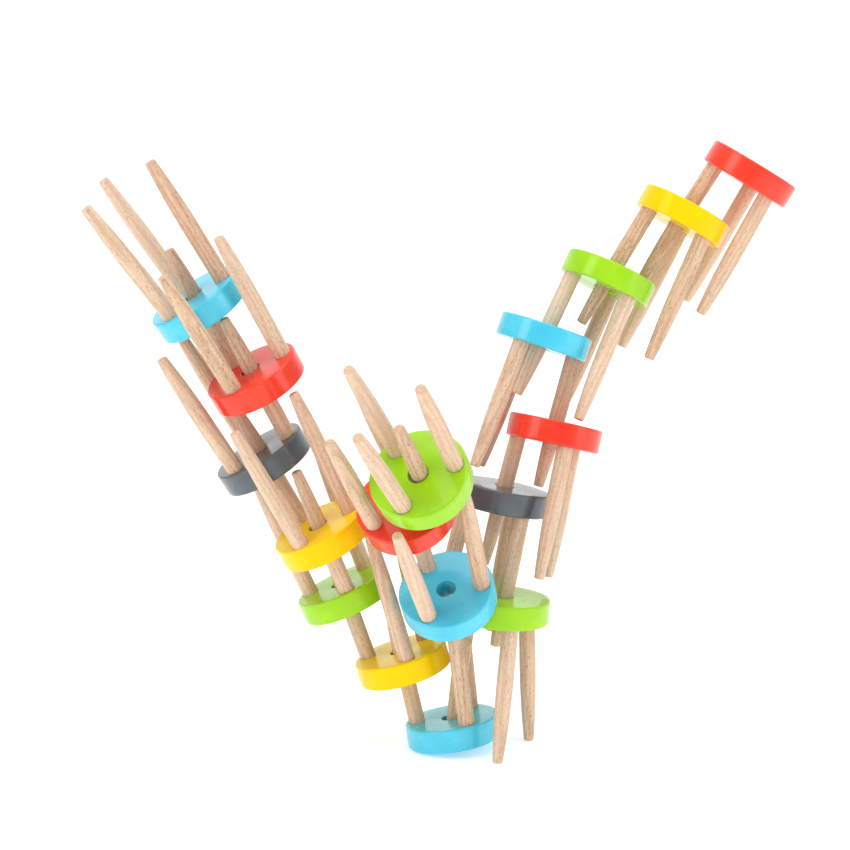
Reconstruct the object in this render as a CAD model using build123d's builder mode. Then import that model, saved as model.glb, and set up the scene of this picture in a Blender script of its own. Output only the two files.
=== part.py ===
"""Stacking game of wooden three-legged stools, built up as a free-standing sculpture.

Every stool is a round painted seat disc with a through hole in its middle and
three splayed, tapered beech legs glued into blind sockets in one face.  The
stools are hooked together: one leg of a stool stands in the middle hole of its
neighbour.  Lengths are millimetres and +Z is up; the origin is on the floor,
under the middle of the whole stack's bounding box.
"""

import math
import os

from build123d import *

# ---------------------------------------------------------------- dimensions
SEAT_D = 60.0          # seat disc diameter
SEAT_T = 14.92           # seat disc thickness
SEAT_EDGE_R = 1.3      # rounding of both seat rims
HOLE_D = 12.5          # middle hole, a loose fit over a leg
HOLE_EDGE_R = 0.6      # rounding of the hole's mouths

LEG_D = 10.5           # leg diameter over its straight half
LEG_TIP_D = 6.3       # leg diameter at its tip
LEG_L = 84.42            # leg length standing out of the seat
LEG_STRAIGHT = 0.40    # share of LEG_L that keeps the full diameter
LEG_TIP_R = 0.7        # rounding of the tip's edge
LEG_SPLAY = 2.929      # outward lean of each leg, degrees
LEG_RING_R = 22.31      # radius of the circle the three legs stand on

SOCKET_DEPTH = 9.0     # depth of the blind leg socket, measured along the leg
SOCKET_PLAY = 0.10     # radial room round the leg in its socket

# ---------------------------------------------------------------- placement
# Each stool: name, centre of its leg-side face, direction in which its legs
# point, direction from the centre towards its leg 0, which of its legs
# (0, 1, 2, a third of a turn apart) stand in the hole of which other stool,
# and by how many degrees each leg strays from the nominal splay, outwards and
# sideways, because the sockets are drilled by hand and no two legs stand alike.
STOOLS = [
    ("blue_1", (-1.170, 49.237, 18.967), (-0.145888, 0.000376, 0.989301), (-0.985784, 0.084194, -0.145401),
     {0: "yellow_1", 1: "blue_3"}, ((1.966, -2.618), (3.257, -1.755), (0.598, -0.530))),
    ("yellow_1", (-34.235, 52.808, 61.666), (-0.267911, -0.051193, 0.962083), (-0.920894, 0.307094, -0.240101),
     {0: "green_1"}, ((0.609, 0.716), (-1.597, -0.622), (0.202, 0.063))),
    ("green_1", (-72.151, 56.402, 105.210), (-0.390760, -0.078144, 0.917170), (0.214286, -0.976738, 0.008077),
     {0: "yellow_2"}, ((1.499, 0.908), (0.198, 0.066), (-1.063, -0.725))),
    ("yellow_2", (-84.897, 26.960, 148.451), (-0.431604, -0.222696, 0.874142), (-0.489216, 0.871946, -0.019411),
     {0: "grey_1"}, ((1.988, 0.376), (-1.110, -0.574), (-0.333, -0.239))),
    ("grey_1", (-122.547, 38.193, 194.253), (-0.496972, -0.178167, 0.849280), (0.854843, -0.268795, 0.443838),
     {0: "red_1"}, ((0.803, -0.377), (0.146, -0.134), (-0.947, 1.224))),
    ("red_1", (-125.259, 21.598, 246.266), (-0.434959, -0.297949, 0.849728), (-0.518633, 0.854317, 0.034080),
     {0: "blue_2"}, ((-1.656, -0.929), (0.057, 0.218), (-2.068, -1.352))),
    ("blue_2", (-160.398, 25.790, 291.627), (-0.516277, -0.269525, 0.812905), (-0.493735, -0.681903, -0.539662),
     {}, ((0.783, 0.272), (0.247, -0.410), (0.308, 0.637))),
    ("blue_3", (-5.076, 11.401, 111.404), (-0.188413, -0.625887, 0.756813), (-0.496183, 0.725694, 0.476624),
     {0: "red_2"}, ((0.305, 0.715), (0.745, 0.244), (0.078, 0.651))),
    ("red_2", (-30.999, -9.744, 169.478), (-0.258842, -0.684956, 0.681055), (0.872473, -0.468346, -0.139437),
     {0: "green_2"}, ((-2.068, -0.859), (-0.437, 1.762), (-1.762, -0.174))),
    ("green_2", (-22.097, -48.026, 192.307), (-0.271453, -0.732511, 0.624292), (-0.384614, -0.512042, -0.768040),
     {}, ((0.556, 0.954), (-0.966, -2.120), (-0.582, 0.682))),
    ("green_3", (30.749, 42.208, 85.008), (-0.065144, 0.032203, -0.997356), (-0.946116, 0.315724, 0.071991),
     {0: "blue_1"}, ((0.354, -2.999), (2.167, 2.025), (3.849, 3.050))),
    ("grey_2", (30.136, 62.300, 152.756), (-0.189949, -0.015644, -0.981669), (0.569172, -0.816462, -0.097121),
     {0: "green_3"}, ((-1.673, 1.248), (-0.274, -0.300), (-0.746, -0.001))),
    ("red_3", (62.866, 61.342, 194.359), (-0.215713, -0.130173, -0.967741), (-0.958058, 0.219702, 0.184002),
     {0: "grey_2"}, ((-0.102, 1.626), (-0.237, 0.013), (-0.113, -0.088))),
    ("blue_4", (55.549, 70.067, 255.287), (-0.314469, -0.096583, -0.944341), (0.942239, -0.152595, -0.298162),
     {0: "red_3"}, ((0.046, -0.414), (0.175, 0.575), (0.254, -0.922))),
    ("green_4", (96.323, 79.747, 292.414), (-0.412050, -0.131448, -0.901630), (-0.889404, -0.156926, 0.429341),
     {0: "blue_4"}, ((-2.291, 0.559), (0.201, 0.030), (0.102, -0.382))),
    ("yellow_3", (144.372, 90.273, 332.043), (-0.477860, -0.053783, -0.876788), (-0.841639, -0.257830, 0.474518),
     {0: "green_4"}, ((-0.311, -0.148), (0.305, 1.484), (1.805, -1.729))),
    ("red_4", (186.824, 92.909, 359.109), (-0.513690, 0.068587, -0.855230), (-0.851901, -0.159185, 0.498924),
     {0: "yellow_3"}, ((-1.369, -1.683), (0.363, 1.797), (0.532, -0.697))),
]


def stool_plane(centre, towards_tips, towards_leg):
    """Plane of a stool's leg-side face, +Z towards the leg tips."""
    return Plane(origin=centre, x_dir=towards_leg, z_dir=towards_tips)


def leg_plane(face, index, strays):
    """Plane across one leg where its axis meets the seat's leg-side face."""
    turn = math.radians(120.0 * index)
    lean = math.radians(LEG_SPLAY + strays[index][0])
    side = math.radians(strays[index][1])
    out = face.x_dir * math.cos(turn) + face.y_dir * math.sin(turn)
    beside = face.y_dir * math.cos(turn) - face.x_dir * math.sin(turn)
    origin = face.origin + out * LEG_RING_R
    upright = face.z_dir * math.cos(lean) + out * math.sin(lean)
    along = upright * math.cos(side) + beside * math.sin(side)
    across = out * math.cos(lean) - face.z_dir * math.sin(lean)
    return Plane(origin=origin, x_dir=across, z_dir=along)


def make_seat(face, strays):
    """Round disc with a middle hole and three blind leg sockets."""
    with BuildPart() as seat:
        with BuildSketch(face.offset(-SEAT_T)):
            Circle(SEAT_D / 2)
            Circle(HOLE_D / 2, mode=Mode.SUBTRACT)
        extrude(amount=SEAT_T)
        rings = seat.edges().filter_by(GeomType.CIRCLE)
        fillet(rings.filter_by(lambda e: e.radius > SEAT_D / 4), SEAT_EDGE_R)
        rings = seat.edges().filter_by(GeomType.CIRCLE)
        fillet(rings.filter_by(lambda e: abs(e.radius - HOLE_D / 2) < 0.01), HOLE_EDGE_R)
        for index in range(3):
            with BuildSketch(leg_plane(face, index, strays).offset(-SOCKET_DEPTH)):
                Circle(LEG_D / 2 + SOCKET_PLAY)
            extrude(amount=SOCKET_DEPTH + 4.0, mode=Mode.SUBTRACT)
    return seat.part


def make_leg(across):
    """Turned leg: straight over its lower part, then drawn in to a blunt tip."""
    half = Plane(origin=across.origin, x_dir=across.x_dir, z_dir=-across.y_dir)
    start = LEG_L * LEG_STRAIGHT
    with BuildPart() as leg:
        with BuildSketch(half):
            with BuildLine():
                Line((0, -SOCKET_DEPTH), (LEG_D / 2, -SOCKET_DEPTH))
                Line((LEG_D / 2, -SOCKET_DEPTH), (LEG_D / 2, start))
                TangentArc((LEG_D / 2, start), (LEG_TIP_D / 2, LEG_L), tangent=(0, 1))
                Line((LEG_TIP_D / 2, LEG_L), (0, LEG_L))
                Line((0, LEG_L), (0, -SOCKET_DEPTH))
            make_face()
        revolve(axis=Axis(across.origin, across.z_dir))
        ends = leg.edges().filter_by(GeomType.CIRCLE)
        fillet(ends.filter_by(lambda e: abs(e.radius - LEG_TIP_D / 2) < 0.01), LEG_TIP_R)
        ends = leg.edges().filter_by(GeomType.CIRCLE)
        foot = ends.filter_by(lambda e: abs(e.radius - LEG_D / 2) < 0.01)
        chamfer(foot.sort_by(lambda e: (e.center() - across.origin).dot(across.z_dir))[0], 0.5)
    return leg.part


os.makedirs("parts", exist_ok=True)


def write(shape, label):
    """Label one finished piece and write it as its own STEP file."""
    shape.label = label
    export_step(shape, "parts/" + label + ".step")


for stool, centre, towards_tips, towards_leg, links, strays in STOOLS:
    face = stool_plane(centre, towards_tips, towards_leg)

    with BuildPart() as seat:
        add(make_seat(face, strays))
    write(seat.part, "seat_" + stool)

    for index, target in links.items():
        with BuildPart() as linking_leg:
            add(make_leg(leg_plane(face, index, strays)))
        write(linking_leg.part, "linking_leg_" + stool + "_in_" + target)

    with BuildPart() as free_legs:
        for index in range(3):
            if index not in links:
                add(make_leg(leg_plane(face, index, strays)))
    write(free_legs.part, "free_legs_" + stool)
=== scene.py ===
import math
import random

import bmesh
import bpy
from mathutils import Matrix, Vector


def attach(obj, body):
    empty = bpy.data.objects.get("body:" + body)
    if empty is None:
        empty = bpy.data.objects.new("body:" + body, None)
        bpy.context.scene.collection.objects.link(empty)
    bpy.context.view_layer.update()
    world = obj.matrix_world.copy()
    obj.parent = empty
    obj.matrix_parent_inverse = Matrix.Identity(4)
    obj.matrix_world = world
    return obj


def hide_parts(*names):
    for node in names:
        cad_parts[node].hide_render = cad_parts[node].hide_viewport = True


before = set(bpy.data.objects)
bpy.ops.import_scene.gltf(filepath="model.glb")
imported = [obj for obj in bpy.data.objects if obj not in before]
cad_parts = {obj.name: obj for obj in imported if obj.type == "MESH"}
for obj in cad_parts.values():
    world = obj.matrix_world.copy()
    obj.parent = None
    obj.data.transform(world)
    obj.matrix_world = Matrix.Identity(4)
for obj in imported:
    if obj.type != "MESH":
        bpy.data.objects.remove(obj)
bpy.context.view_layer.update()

# ------------------------------------------------------------------ sizes, mm
MM = 0.001
SEAT_R = 30.0
SEAT_T = 14.92
SEAT_EDGE = 1.3
HOLE_R = 6.25
HOLE_EDGE = 0.6
LEG_R = 5.25
TIP_R = 3.15
LEG_L = 84.42
STRAIGHT = 0.40
RING_R = 22.31
SPLAY = math.radians(2.929)
SOCKET_R = LEG_R + 0.10

# name, centre of the leg-side face, direction of the tips, direction of leg 0,
# which leg stands in which other stool, and each leg's stray from the splay in degrees
STOOLS = [
    ("blue_1", (-1.170, 49.237, 18.967), (-0.145888, 0.000376, 0.989301), (-0.985784, 0.084194, -0.145401),
     {0: "yellow_1", 1: "blue_3"}, ((1.966, -2.618), (3.257, -1.755), (0.598, -0.530))),
    ("yellow_1", (-34.235, 52.808, 61.666), (-0.267911, -0.051193, 0.962083), (-0.920894, 0.307094, -0.240101),
     {0: "green_1"}, ((0.609, 0.716), (-1.597, -0.622), (0.202, 0.063))),
    ("green_1", (-72.151, 56.402, 105.210), (-0.390760, -0.078144, 0.917170), (0.214286, -0.976738, 0.008077),
     {0: "yellow_2"}, ((1.499, 0.908), (0.198, 0.066), (-1.063, -0.725))),
    ("yellow_2", (-84.897, 26.960, 148.451), (-0.431604, -0.222696, 0.874142), (-0.489216, 0.871946, -0.019411),
     {0: "grey_1"}, ((1.988, 0.376), (-1.110, -0.574), (-0.333, -0.239))),
    ("grey_1", (-122.547, 38.193, 194.253), (-0.496972, -0.178167, 0.849280), (0.854843, -0.268795, 0.443838),
     {0: "red_1"}, ((0.803, -0.377), (0.146, -0.134), (-0.947, 1.224))),
    ("red_1", (-125.259, 21.598, 246.266), (-0.434959, -0.297949, 0.849728), (-0.518633, 0.854317, 0.034080),
     {0: "blue_2"}, ((-1.656, -0.929), (0.057, 0.218), (-2.068, -1.352))),
    ("blue_2", (-160.398, 25.790, 291.627), (-0.516277, -0.269525, 0.812905), (-0.493735, -0.681903, -0.539662),
     {}, ((0.783, 0.272), (0.247, -0.410), (0.308, 0.637))),
    ("blue_3", (-5.076, 11.401, 111.404), (-0.188413, -0.625887, 0.756813), (-0.496183, 0.725694, 0.476624),
     {0: "red_2"}, ((0.305, 0.715), (0.745, 0.244), (0.078, 0.651))),
    ("red_2", (-30.999, -9.744, 169.478), (-0.258842, -0.684956, 0.681055), (0.872473, -0.468346, -0.139437),
     {0: "green_2"}, ((-2.068, -0.859), (-0.437, 1.762), (-1.762, -0.174))),
    ("green_2", (-22.097, -48.026, 192.307), (-0.271453, -0.732511, 0.624292), (-0.384614, -0.512042, -0.768040),
     {}, ((0.556, 0.954), (-0.966, -2.120), (-0.582, 0.682))),
    ("green_3", (30.749, 42.208, 85.008), (-0.065144, 0.032203, -0.997356), (-0.946116, 0.315724, 0.071991),
     {0: "blue_1"}, ((0.354, -2.999), (2.167, 2.025), (3.849, 3.050))),
    ("grey_2", (30.136, 62.300, 152.756), (-0.189949, -0.015644, -0.981669), (0.569172, -0.816462, -0.097121),
     {0: "green_3"}, ((-1.673, 1.248), (-0.274, -0.300), (-0.746, -0.001))),
    ("red_3", (62.866, 61.342, 194.359), (-0.215713, -0.130173, -0.967741), (-0.958058, 0.219702, 0.184002),
     {0: "grey_2"}, ((-0.102, 1.626), (-0.237, 0.013), (-0.113, -0.088))),
    ("blue_4", (55.549, 70.067, 255.287), (-0.314469, -0.096583, -0.944341), (0.942239, -0.152595, -0.298162),
     {0: "red_3"}, ((0.046, -0.414), (0.175, 0.575), (0.254, -0.922))),
    ("green_4", (96.323, 79.747, 292.414), (-0.412050, -0.131448, -0.901630), (-0.889404, -0.156926, 0.429341),
     {0: "blue_4"}, ((-2.291, 0.559), (0.201, 0.030), (0.102, -0.382))),
    ("yellow_3", (144.372, 90.273, 332.043), (-0.477860, -0.053783, -0.876788), (-0.841639, -0.257830, 0.474518),
     {0: "green_4"}, ((-0.311, -0.148), (0.305, 1.484), (1.805, -1.729))),
    ("red_4", (186.824, 92.909, 359.109), (-0.513690, 0.068587, -0.855230), (-0.851901, -0.159185, 0.498924),
     {0: "yellow_3"}, ((-1.369, -1.683), (0.363, 1.797), (0.532, -0.697))),
]

CAM_POS = (-17.965, -1138.046, 358.857)
CAM_LOOK = (-0.0000016, 0.9920603, -0.1257627)
CAM_F_PX = 1898.41

TONES = {
    # (paleness, warmth) of legs that stand out as pale or dark; the others are drawn from the seed
    ("blue_3", 1): (0.95, 0.35), ("blue_3", 2): (0.35, 0.75), ("blue_3", 0): (0.45, 0.50),
}


# ------------------------------------------------------------------- frames
def stool_matrix(centre, tips, leg0):
    """Local frame of a stool in millimetres: origin in the leg-side face, +Z to the tips, +X to leg 0."""
    z = Vector(tips).normalized()
    x = Vector(leg0)
    x = (x - z * x.dot(z)).normalized()
    y = z.cross(x)
    m = Matrix((x, y, z)).transposed().to_4x4()
    m.translation = Vector(centre)
    return m


def leg_matrix(index, strays):
    """Frame of one leg in its stool's frame: origin where its axis meets the face, +Z along the leg."""
    turn = math.radians(120.0 * index)
    lean = SPLAY + math.radians(strays[index][0])
    side = math.radians(strays[index][1])
    out = Vector((math.cos(turn), math.sin(turn), 0.0))
    beside = Vector((-math.sin(turn), math.cos(turn), 0.0))
    up = Vector((0.0, 0.0, 1.0))
    z = (up * math.cos(lean) + out * math.sin(lean)) * math.cos(side) + beside * math.sin(side)
    x = out * math.cos(lean) - up * math.sin(lean)
    y = z.cross(x)
    m = Matrix((x, y, z)).transposed().to_4x4()
    m.translation = out * RING_R
    return m


# ------------------------------------------------------------------- meshes
def arc(cx, cz, r, a0, a1, n):
    """Points of an arc in the (radius, height) half plane; angles in degrees from +radius towards +height."""
    return [(cx + r * math.cos(math.radians(a0 + (a1 - a0) * i / n)),
             cz + r * math.sin(math.radians(a0 + (a1 - a0) * i / n))) for i in range(n + 1)]


def lathe(profile, segments, closed):
    """Turned solid about +Z. A closed profile makes a ring; an open one starts and ends on the axis."""
    bm = bmesh.new()
    rings = []
    for r, z in profile:
        if r < 1e-6:
            rings.append([bm.verts.new((0.0, 0.0, z))])
        else:
            rings.append([bm.verts.new((r * math.cos(2 * math.pi * k / segments),
                                        r * math.sin(2 * math.pi * k / segments), z)) for k in range(segments)])
    pairs = list(zip(rings, rings[1:]))
    if closed:
        pairs.append((rings[-1], rings[0]))
    for a, b in pairs:
        for k in range(segments):
            j = (k + 1) % segments
            if len(a) == 1:
                bm.faces.new((a[0], b[j], b[k]))
            elif len(b) == 1:
                bm.faces.new((a[k], a[j], b[0]))
            else:
                bm.faces.new((a[k], a[j], b[j], b[k]))
    bmesh.ops.recalc_face_normals(bm, faces=bm.faces)
    return bm


def seat_profile():
    """Seat section, leg-side face at height 0: rounded rims outside, smaller rounding at the hole's mouths."""
    e, h = SEAT_EDGE, HOLE_EDGE
    p = []
    p += arc(SEAT_R - e, -e, e, 90, 0, 8)
    # the turned edge is very slightly crowned between its rims
    for i in range(1, 6):
        f = i / 6.0
        z = -e + (-(SEAT_T - e) + e) * f
        p.append((SEAT_R - 0.05 * (2 * f - 1) ** 2, z))
    p += arc(SEAT_R - e, -SEAT_T + e, e, 0, -90, 8)
    for r in (24.0, 18.0, 12.0):
        p.append((r, -SEAT_T))
    p += arc(HOLE_R + h, -SEAT_T + h, h, 270, 180, 5)
    for i in range(1, 4):
        p.append((HOLE_R, -SEAT_T + h + (SEAT_T - 2 * h) * i / 4.0))
    p += arc(HOLE_R + h, -h, h, 180, 90, 5)
    return p


def socket_cutter():
    """Blind socket with a small painted-over rounding at its mouth."""
    flare = 0.35
    p = [(0.0, -5.0), (SOCKET_R, -5.0), (SOCKET_R, -flare)]
    p += [(SOCKET_R + flare - q, z) for q, z in
          [(flare * math.cos(math.radians(a)), -flare + flare * math.sin(math.radians(a))) for a in (20, 40, 60, 80)]]
    p += [(SOCKET_R + flare + 0.02, 0.02), (SOCKET_R + flare + 0.02, 3.0), (0.0, 3.0)]
    bm = lathe(p, 72, closed=False)
    return bm


def to_mesh(bm, name):
    me = bpy.data.meshes.new(name)
    bm.to_mesh(me)
    bm.free()
    return me


def finish_mesh(me, angle=32.0):
    me.shade_smooth()
    me.set_sharp_from_angle(angle=math.radians(angle))
    me.update()


def build_seat(strays):
    """One seat with its three sockets cut, in the stool frame, millimetres."""
    seat = bpy.data.objects.new("seat_master", to_mesh(lathe(seat_profile(), 160, closed=True), "seat_master"))
    cut = bmesh.new()
    for index in range(3):
        one = socket_cutter()
        one.transform(leg_matrix(index, strays))
        me = to_mesh(one, "cut")
        cut.from_mesh(me)
        bpy.data.meshes.remove(me)
    cutter = bpy.data.objects.new("cutter", to_mesh(cut, "cutter"))
    scene = bpy.context.scene
    scene.collection.objects.link(seat)
    scene.collection.objects.link(cutter)
    mod = seat.modifiers.new("sockets", "BOOLEAN")
    mod.operation = "DIFFERENCE"
    mod.solver = "EXACT"
    mod.object = cutter
    bpy.context.view_layer.update()
    depsgraph = bpy.context.evaluated_depsgraph_get()
    me = bpy.data.meshes.new_from_object(seat.evaluated_get(depsgraph))
    bpy.data.objects.remove(seat)
    bpy.data.objects.remove(cutter)
    me.materials.clear()
    return me


def leg_profile():
    d = LEG_R - TIP_R
    s0 = LEG_L * STRAIGHT
    big = ((LEG_L - s0) ** 2 + d * d) / (2 * d)
    edge = 1.05

    def radius(s):
        return LEG_R if s <= s0 else LEG_R - (big - math.sqrt(big * big - (s - s0) ** 2))
    p = [(0.0, -4.5), (LEG_R - 0.4, -4.5), (LEG_R, -4.1)]
    n = 12
    p += [(LEG_R, -3.0 + (s0 + 3.0) * i / n) for i in range(n + 1)]
    end = LEG_L - edge - 0.12
    n = 26
    p += [(radius(s0 + (end - s0) * i / n), s0 + (end - s0) * i / n) for i in range(1, n + 1)]
    rr = radius(end)
    p += arc(rr - edge, end, edge, 0, 82, 7)[1:]
    p += [((rr - edge) * f, LEG_L - 0.12 * f * f) for f in (0.95, 0.7, 0.45, 0.2)]
    p += [(0.0, LEG_L)]
    return p


# --------------------------------------------------------------- placement
rng = random.Random(7)
LEG_PROFILE = leg_profile()


def store_vector(me, name, values):
    a = me.attributes.new(name, "FLOAT_VECTOR", "POINT")
    flat = [c for v in values for c in v]
    a.data.foreach_set("vector", flat)


def store_float(me, name, value):
    a = me.attributes.new(name, "FLOAT", "POINT")
    a.data.foreach_set("value", [value] * len(me.vertices))


def make_leg(stool, matrix, index, target, strays):
    name = "leg_%s_%s" % (stool, "in_" + target if target else "free_%d" % index)
    me = to_mesh(lathe(LEG_PROFILE, 64, closed=False), name)
    local = leg_matrix(index, strays)
    # wood coordinates: distance from the middle of the tree, way round it, and way along the leg, in mm
    away = 14.0 + 60.0 * rng.random()
    turn = rng.uniform(0, 2 * math.pi)
    lean_a, lean_b = rng.uniform(-0.05, 0.05), rng.uniform(-0.03, 0.03)
    shift = rng.uniform(0, 500)
    ct, st = math.cos(turn), math.sin(turn)
    grain = []
    for v in me.vertices:
        x, y, z = v.co
        gx = x * ct + y * st + lean_a * z + away
        gy = -x * st + y * ct + lean_b * z
        grain.append((math.hypot(gx, gy), gy + shift, z + 1.7 * shift))
    store_vector(me, "grain", grain)
    store_vector(me, "legpos", [tuple(v.co) for v in me.vertices])
    pale, warm = TONES.get((stool, index), (rng.random(), rng.random()))
    store_float(me, "pale", pale)
    store_float(me, "warm", warm)
    me.transform(Matrix.Scale(MM, 4) @ matrix @ local)
    finish_mesh(me, 40.0)
    o = bpy.data.objects.new(name, me)
    bpy.context.scene.collection.objects.link(o)
    me.materials.append(BEECH)
    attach(o, "stool_" + stool)
    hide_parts("linking_leg_%s_in_%s" % (stool, target) if target else "free_legs_" + stool)
    return o


def make_seat(stool, matrix, strays):
    me = build_seat(strays)
    me.name = "painted_seat_" + stool
    shift = rng.uniform(0, 400)
    turn = rng.uniform(0, 2 * math.pi)
    ct, st = math.cos(turn), math.sin(turn)
    store_vector(me, "board", [(v.co.x * ct + v.co.y * st + shift, -v.co.x * st + v.co.y * ct, v.co.z) for v in me.vertices])
    me.transform(Matrix.Scale(MM, 4) @ matrix)
    finish_mesh(me, 32.0)
    o = bpy.data.objects.new("painted_seat_" + stool, me)
    bpy.context.scene.collection.objects.link(o)
    colour = stool.split("_")[0]
    me.materials.append(PAINTS[colour])
    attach(o, "stool_" + stool)
    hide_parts("seat_" + stool)
    return o


# --------------------------------------------------------------- materials
def srgb(r, g, b):
    def lin(c):
        c = c / 255.0
        return c / 12.92 if c <= 0.04045 else ((c + 0.055) / 1.055) ** 2.4
    return (lin(r), lin(g), lin(b), 1.0)


class Tree:
    """Small helper for building a node material."""

    def __init__(self, name):
        self.mat = bpy.data.materials.new(name)
        self.mat.use_nodes = True
        self.nt = self.mat.node_tree
        self.nt.nodes.clear()
        self.out = self.node("ShaderNodeOutputMaterial")
        self.bsdf = self.node("ShaderNodeBsdfPrincipled")
        self.link(self.bsdf.outputs["BSDF"], self.out.inputs["Surface"])

    def node(self, kind, **props):
        n = self.nt.nodes.new(kind)
        for k, v in props.items():
            setattr(n, k, v)
        return n

    def link(self, a, b):
        self.nt.links.new(a, b)

    def put(self, socket, value):
        if isinstance(value, bpy.types.NodeSocket):
            self.link(value, socket)
        else:
            socket.default_value = value

    def attribute(self, name, output="Vector"):
        n = self.node("ShaderNodeAttribute", attribute_type="GEOMETRY", attribute_name=name)
        return n.outputs[output]

    def math(self, op, a, b=0.0, c=0.0, clamp=False):
        n = self.node("ShaderNodeMath", operation=op, use_clamp=clamp)
        self.put(n.inputs[0], a)
        self.put(n.inputs[1], b)
        self.put(n.inputs[2], c)
        return n.outputs[0]

    def scaled(self, vector, scale, offset=(0, 0, 0)):
        n = self.node("ShaderNodeMapping")
        self.link(vector, n.inputs["Vector"])
        n.inputs["Scale"].default_value = scale
        n.inputs["Location"].default_value = offset
        return n.outputs["Vector"]

    def noise(self, vector, scale=1.0, detail=2.0, rough=0.5, distortion=0.0, out="Fac"):
        n = self.node("ShaderNodeTexNoise")
        self.link(vector, n.inputs["Vector"])
        n.inputs["Scale"].default_value = scale
        n.inputs["Detail"].default_value = detail
        n.inputs["Roughness"].default_value = rough
        n.inputs["Distortion"].default_value = distortion
        return n.outputs[out]

    def ramp(self, fac, stops):
        n = self.node("ShaderNodeValToRGB")
        self.put(n.inputs["Fac"], fac)
        el = n.color_ramp.elements
        while len(el) > 1:
            el.remove(el[-1])
        el[0].position, el[0].color = stops[0]
        for p, c in stops[1:]:
            e = el.new(p)
            e.color = c
        return n.outputs["Color"]

    def remap(self, value, a, b, c=0.0, d=1.0):
        n = self.node("ShaderNodeMapRange")
        self.put(n.inputs["Value"], value)
        n.inputs["From Min"].default_value = a
        n.inputs["From Max"].default_value = b
        n.inputs["To Min"].default_value = c
        n.inputs["To Max"].default_value = d
        return n.outputs["Result"]

    def mix(self, fac, a, b, blend="MIX"):
        n = self.node("ShaderNodeMix", data_type="RGBA", blend_type=blend)
        n.clamp_factor = True
        self.put(n.inputs[0], fac)
        self.put(n.inputs[6], a)
        self.put(n.inputs[7], b)
        return n.outputs[2]

    def bump(self, height, strength, distance, normal=None):
        n = self.node("ShaderNodeBump")
        n.inputs["Strength"].default_value = strength
        n.inputs["Distance"].default_value = distance
        self.link(height, n.inputs["Height"])
        if normal is not None:
            self.link(normal, n.inputs["Normal"])
        return n.outputs["Normal"]


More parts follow.
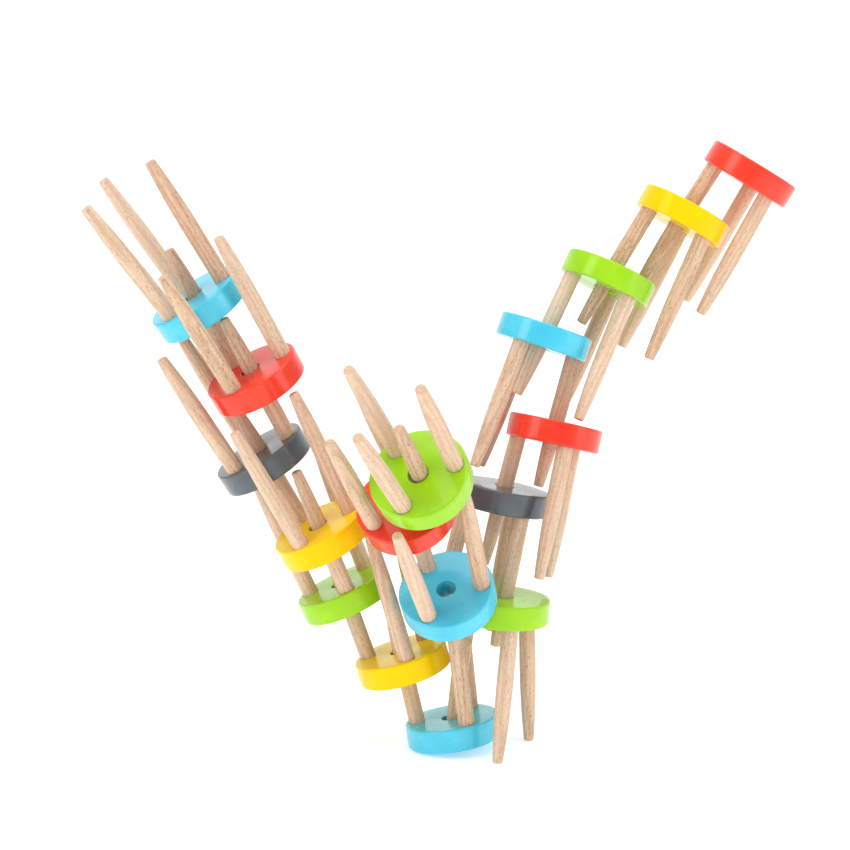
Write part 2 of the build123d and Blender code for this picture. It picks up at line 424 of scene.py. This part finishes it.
def make_beech():
    """Turned beech: faint growth rings, short dark ray flecks along the grain, fine pores, darker end grain."""
    t = Tree("beech_turned")
    grain = t.attribute("grain")
    where = t.attribute("legpos")
    pale = t.attribute("pale", "Fac")
    warm = t.attribute("warm", "Fac")
    sep = t.node("ShaderNodeSeparateXYZ")
    t.link(grain, sep.inputs[0])
    # growth rings, 2 to 3 mm apart, drifting along the leg
    drift = t.noise(t.scaled(grain, (0.12, 0.12, 0.016)), 1.0, 3.0, 0.55)
    ring_pos = t.math("ADD", t.math("MULTIPLY", sep.outputs["X"], 2.1), t.math("MULTIPLY", drift, 11.0))
    ring = t.math("ADD", t.math("MULTIPLY", t.math("SINE", ring_pos), 0.5), 0.5)
    ring = t.math("POWER", ring, 2.0)
    # long soft streaks
    streak = t.noise(t.scaled(grain, (0.60, 0.60, 0.022)), 1.0, 4.0, 0.62)
    fine = t.noise(t.scaled(grain, (3.0, 3.0, 0.12)), 1.0, 3.0, 0.65)
    # ray flecks: short lens-shaped dashes, two sizes
    def dashes(scale, reach, share):
        cells = t.node("ShaderNodeTexVoronoi", feature="F1", distance="EUCLIDEAN")
        t.link(t.scaled(grain, scale), cells.inputs["Vector"])
        cells.inputs["Scale"].default_value = 1.0
        cells.inputs["Randomness"].default_value = 1.0
        cell = t.node("ShaderNodeSeparateXYZ")
        t.link(cells.outputs["Color"], cell.inputs[0])
        return t.math("MULTIPLY", t.remap(cells.outputs["Distance"], reach, reach * 0.35),
                      t.remap(cell.outputs["X"], share, share + 0.25))
    fleck = dashes((0.85, 0.85, 0.20), 0.36, 0.30)
    small = dashes((1.7, 1.7, 0.42), 0.38, 0.15)
    # fine pores
    pores = t.noise(t.scaled(grain, (8.0, 8.0, 0.8)), 1.0, 2.0, 0.5)
    pore = t.remap(pores, 0.56, 0.70)

    light = t.mix(warm, srgb(236, 210, 181), srgb(231, 197, 168))
    mid = t.mix(warm, srgb(214, 180, 148), srgb(208, 166, 136))
    base = t.mix(t.remap(streak, 0.32, 0.68), light, mid)
    base = t.mix(t.math("MULTIPLY", ring, 0.50), base, t.mix(warm, srgb(180, 138, 104), srgb(176, 128, 98)))
    base = t.mix(t.math("MULTIPLY", t.remap(fine, 0.42, 0.72), 0.38), base, srgb(172, 130, 98))
    base = t.mix(t.math("MULTIPLY", fleck, 0.78), base, srgb(148, 98, 66))
    base = t.mix(t.math("MULTIPLY", small, 0.66), base, srgb(140, 92, 62))
    base = t.mix(t.math("MULTIPLY", pore, 0.40), base, srgb(132, 92, 68))
    base = t.mix(t.math("MULTIPLY", pale, 0.36), base, srgb(242, 222, 198))
    # end grain on the tip: cut fibres drink more wax and look darker
    place = t.node("ShaderNodeSeparateXYZ")
    t.link(where, place.inputs[0])
    end = t.remap(place.outputs["Z"], LEG_L - 0.75, LEG_L - 0.25)
    dots = t.noise(t.scaled(grain, (3.4, 3.4, 0.2)), 1.0, 3.0, 0.6)
    end_colour = t.mix(t.remap(dots, 0.35, 0.65), srgb(186, 140, 106), srgb(222, 184, 150))
    base = t.mix(t.math("MULTIPLY", end, 0.45), base, end_colour)
    t.link(base, t.bsdf.inputs["Base Color"])
    rough = t.remap(fine, 0.2, 0.8, 0.46, 0.62)
    t.link(rough, t.bsdf.inputs["Roughness"])
    t.bsdf.inputs["Specular IOR Level"].default_value = 0.35
    h = t.math("SUBTRACT", t.math("MULTIPLY", fine, 0.6), t.math("MULTIPLY", pore, 0.7))
    n1 = t.bump(h, 0.25, 0.00012)
    # the faint rings a lathe leaves round the leg
    turned = t.noise(t.scaled(where, (0.02, 0.02, 2.2)), 1.0, 2.0, 0.5)
    n2 = t.bump(turned, 0.10, 0.00015, n1)
    t.link(n2, t.bsdf.inputs["Normal"])
    return t.mat


def make_paint(name, main, deep, bright, glint=(1.0, 1.0, 1.0, 1.0), coat=0.3):
    """Gloss paint on a turned wooden disc: faint grain telegraphing through, orange peel, uneven film."""
    t = Tree("paint_gloss_" + name)
    board = t.attribute("board")
    film = t.noise(t.scaled(board, (0.045, 0.045, 0.06)), 1.0, 2.0, 0.5)
    grain = t.noise(t.scaled(board, (0.06, 1.3, 1.3)), 1.0, 3.0, 0.55)
    col = t.mix(t.remap(film, 0.32, 0.68), srgb(*main), srgb(*bright))
    col = t.mix(t.math("MULTIPLY", t.remap(grain, 0.40, 0.80), 0.16), col, srgb(*deep))
    t.link(col, t.bsdf.inputs["Base Color"])
    t.link(t.remap(film, 0.25, 0.75, 0.20, 0.30), t.bsdf.inputs["Roughness"])
    t.bsdf.inputs["Specular IOR Level"].default_value = 0.5
    t.bsdf.inputs["Specular Tint"].default_value = glint
    t.bsdf.inputs["Coat Weight"].default_value = coat
    t.bsdf.inputs["Coat Roughness"].default_value = 0.08
    n1 = t.bump(grain, 0.05, 0.00008)
    peel = t.noise(t.scaled(board, (0.7, 0.7, 0.7)), 1.0, 1.0, 0.4)
    n2 = t.bump(peel, 0.05, 0.00010, n1)
    t.link(n2, t.bsdf.inputs["Normal"])
    return t.mat


BEECH = make_beech()
PAINTS = {
    "blue": make_paint("blue", (54, 190, 222), (34, 162, 196), (76, 204, 232)),
    "green": make_paint("green", (146, 204, 8), (122, 182, 4), (160, 216, 22), (0.8, 1.0, 0.45, 1.0), 0.22),
    "red": make_paint("red", (232, 46, 28), (202, 30, 20), (240, 62, 38), (1.0, 0.7, 0.6, 1.0), 0.25),
    "yellow": make_paint("yellow", (246, 198, 0), (236, 182, 0), (250, 208, 4), (1.0, 0.85, 0.12, 1.0), 0.10),
    "grey": make_paint("grey", (72, 80, 87), (58, 65, 71), (86, 94, 100)),
}

for stool, centre, tips, leg0, links, strays in STOOLS:
    matrix = stool_matrix(centre, tips, leg0)
    make_seat(stool, matrix, strays)
    for index in range(3):
        make_leg(stool, matrix, index, links.get(index), strays)

# ---------------------------------------------------------------- the stage
def make_stage():
    """Plain pale sheet: floor that rises in one soft sweep behind the object."""
    bm = bmesh.new()
    half, front, back, sweep, top = 3.2, -3.0, 1.6, 1.2, 4.0
    line = [(front, 0.0)]
    line += [(front + (back - front) * i / 8.0, 0.0) for i in range(1, 9)]
    line += [(back + sweep * math.sin(math.radians(a)), sweep - sweep * math.cos(math.radians(a))) for a in range(6, 91, 6)]
    line += [(back + sweep, sweep + (top - sweep) * i / 4.0) for i in range(1, 5)]
    rows = []
    for y, z in line:
        rows.append([bm.verts.new((-half + 2 * half * k / 12.0, y, z)) for k in range(13)])
    for a, b in zip(rows, rows[1:]):
        for k in range(12):
            bm.faces.new((a[k], a[k + 1], b[k + 1], b[k]))
    me = to_mesh(bm, "studio_sheet")
    me.shade_smooth()
    o = bpy.data.objects.new("studio_sheet", me)
    bpy.context.scene.collection.objects.link(o)
    t = Tree("studio_paper")
    geo = t.node("ShaderNodeNewGeometry")
    soft = t.noise(t.scaled(geo.outputs["Position"], (1.5, 1.5, 1.5)), 1.0, 2.0, 0.5)
    t.link(t.mix(soft, srgb(250, 250, 250), srgb(253, 253, 253)), t.bsdf.inputs["Base Color"])
    t.bsdf.inputs["Roughness"].default_value = 0.9
    t.bsdf.inputs["Specular IOR Level"].default_value = 0.1
    # painted light: the sheet glows faintly white by itself, keeping it white and lifting the shadows that fall on it
    t.bsdf.inputs["Emission Color"].default_value = (1.0, 1.0, 1.0, 1.0)
    t.bsdf.inputs["Emission Strength"].default_value = 0.30
    me.materials.append(t.mat)


make_stage()


def area_light(name, place, look_at, width, height, power):
    data = bpy.data.lights.new(name, "AREA")
    data.shape = "RECTANGLE"
    data.size, data.size_y = width, height
    data.energy = power
    o = bpy.data.objects.new(name, data)
    bpy.context.scene.collection.objects.link(o)
    o.location = place
    o.rotation_euler = (Vector(look_at) - Vector(place)).to_track_quat("-Z", "Y").to_euler()
    return o


MIDDLE = (0.0, 0.0, 0.19)
area_light("left_box", (-1.3, -0.9, 0.9), MIDDLE, 0.7, 1.4, 9.0)
area_light("right_box", (1.4, -0.6, 0.7), MIDDLE, 0.7, 1.4, 6.0)
area_light("top_box", (0.0, -0.2, 1.7), MIDDLE, 1.6, 1.4, 14.0)
world = bpy.data.worlds.new("studio")
world.use_nodes = True
world.node_tree.nodes["Background"].inputs["Color"].default_value = (1.0, 1.0, 1.0, 1.0)
world.node_tree.nodes["Background"].inputs["Strength"].default_value = 0.62
bpy.context.scene.world = world
bpy.context.scene.view_settings.view_transform = "Standard"
bpy.context.scene.view_settings.look = "None"

# ---------------------------------------------------------------- the camera
cam_data = bpy.data.cameras.new("camera")
cam_data.sensor_fit = "HORIZONTAL"
cam_data.sensor_width = 36.0
cam_data.lens = CAM_F_PX * 36.0 / 850.0
cam_data.clip_start = 0.05
cam_data.clip_end = 50.0
cam = bpy.data.objects.new("camera", cam_data)
bpy.context.scene.collection.objects.link(cam)
look = Vector(CAM_LOOK).normalized()
right = look.cross(Vector((0.0, 0.0, 1.0))).normalized()
up = right.cross(look)
m = Matrix((right, up, -look)).transposed().to_4x4()
m.translation = Vector(CAM_POS) * MM
cam.matrix_world = m
bpy.context.scene.camera = cam
